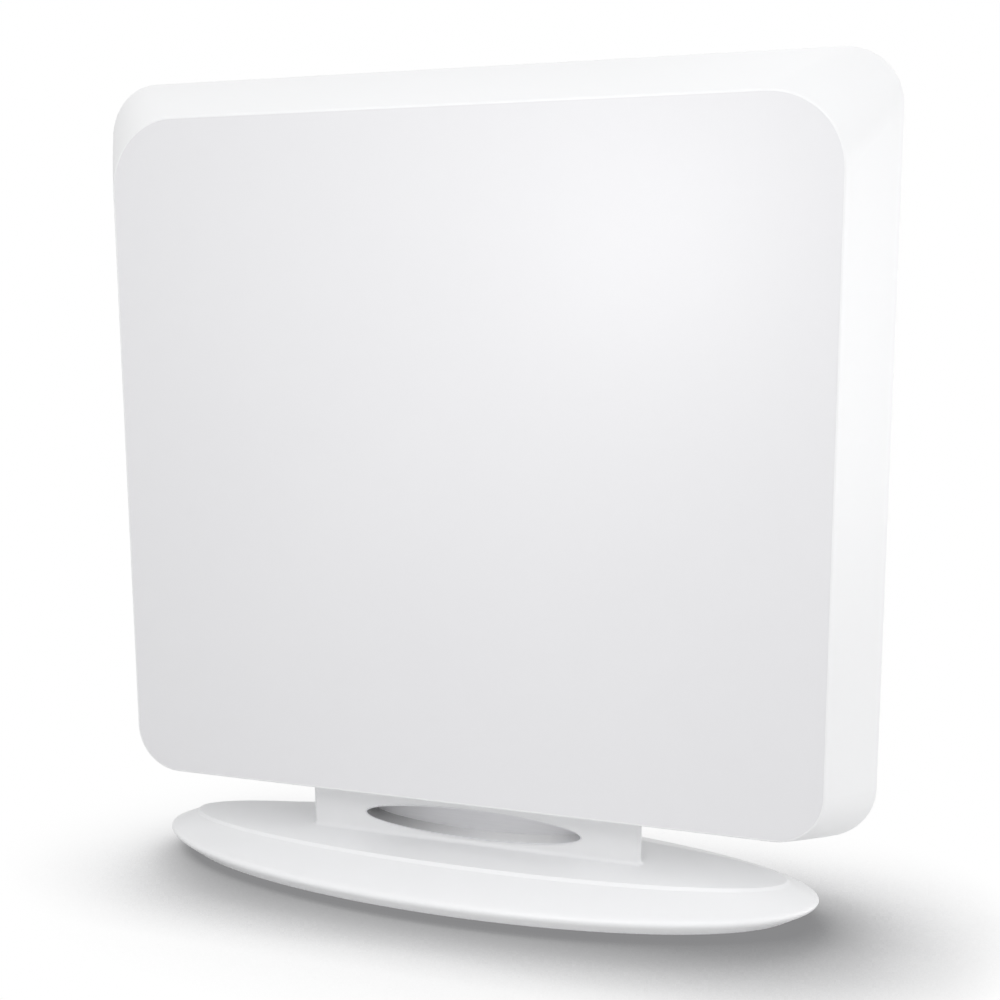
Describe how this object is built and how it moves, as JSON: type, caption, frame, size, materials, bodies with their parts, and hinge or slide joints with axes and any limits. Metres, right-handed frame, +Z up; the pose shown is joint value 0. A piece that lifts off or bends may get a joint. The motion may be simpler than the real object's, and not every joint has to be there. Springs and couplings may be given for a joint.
{
  "type": "tv antenna",
  "caption": "Flat upright panel antenna with a flared rim on an oval weighted foot, with a threaded coaxial socket at the back, for indoor television reception.",
  "frame": {"origin": "under the middle of the foot, on the surface that the antenna stands on", "axes": "+Z up, +X to the viewer's right, and -Y out of the panel's front face"},
  "size_m": [0.29, 0.0832, 0.295],
  "materials": {
    "face_plastic": "white moulded plastic, satin gloss",
    "shell_plastic": "white moulded plastic, gloss",
    "oval_metal": "satin silver with a bright wall",
    "sheet_metal": "bare rolled sheet",
    "insulator_plastic": "natural moulded plastic",
    "circuit_board": "green solder mask",
    "ferrite": "sintered, matt",
    "lead_jacket": "black cable sheath",
    "plated_brass": "nickel plate",
    "screw_steel": "zinc plate",
    "ballast_steel": "mill finish",
    "pad_rubber": "matt"
  },
  "bodies": {
    "root": {"front_panel": "face_plastic", "bezel_frame": "shell_plastic", "rear_cover": "shell_plastic", "stand_body": "shell_plastic", "base_tray": "shell_plastic", "oval_trim": "oval_metal", "reflector_sheet": "sheet_metal", "left_element": "sheet_metal", "right_element": "sheet_metal", "left_inner_post": "insulator_plastic", "right_inner_post": "insulator_plastic", "left_lower_post": "insulator_plastic", "left_upper_post": "insulator_plastic", "right_lower_post": "insulator_plastic", "right_upper_post": "insulator_plastic", "socket_insulator": "insulator_plastic", "feed_board": "circuit_board", "balun_core": "ferrite", "coax_lead": "lead_jacket", "socket_body": "plated_brass", "socket_contact": "plated_brass", "socket_washer": "plated_brass", "socket_nut": "plated_brass", "case_screws": "screw_steel", "stand_screws": "screw_steel", "element_screws": "screw_steel", "feed_screws": "screw_steel", "base_screws": "screw_steel", "ballast_plate": "ballast_steel", "front_left_pad": "pad_rubber", "front_right_pad": "pad_rubber", "rear_left_pad": "pad_rubber", "rear_right_pad": "pad_rubber"}
  },
  "joints": []
}
